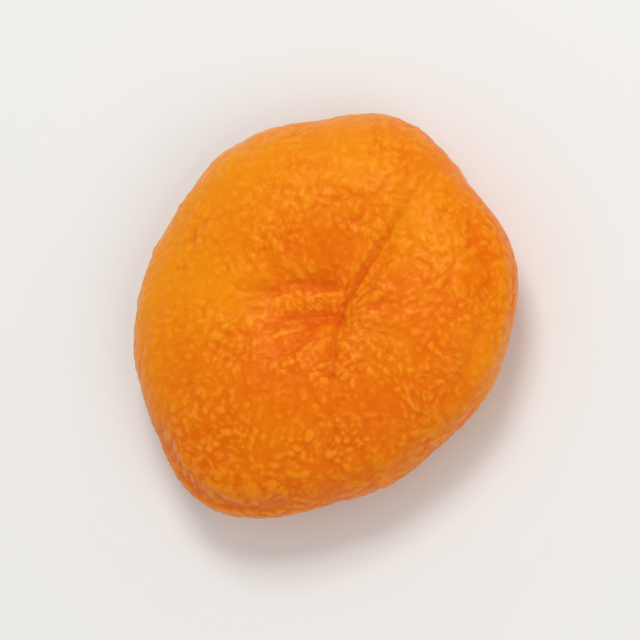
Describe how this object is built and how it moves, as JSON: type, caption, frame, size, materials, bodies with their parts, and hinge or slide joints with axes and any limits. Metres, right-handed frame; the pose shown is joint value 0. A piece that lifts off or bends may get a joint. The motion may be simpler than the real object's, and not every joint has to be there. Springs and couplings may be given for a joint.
{
  "type": "dried apricot",
  "caption": "Whole pitted dried apricot: a soft, wrinkled, cushion-like orange disc with a puckered stem dimple and a creased suture, lying on its blossom side.",
  "frame": {"origin": "middle of the bounding box, on the plane of the pads that the fruit rests on", "axes": "+Z out of the stem-end face; +Y along the suture, from the stem dimple towards the edge; +X across the cheeks"},
  "size_m": [0.0356, 0.041, 0.0125],
  "materials": {
    "skin": "satin"
  },
  "bodies": {
    "root": {"apricot": "skin"}
  },
  "joints": []
}
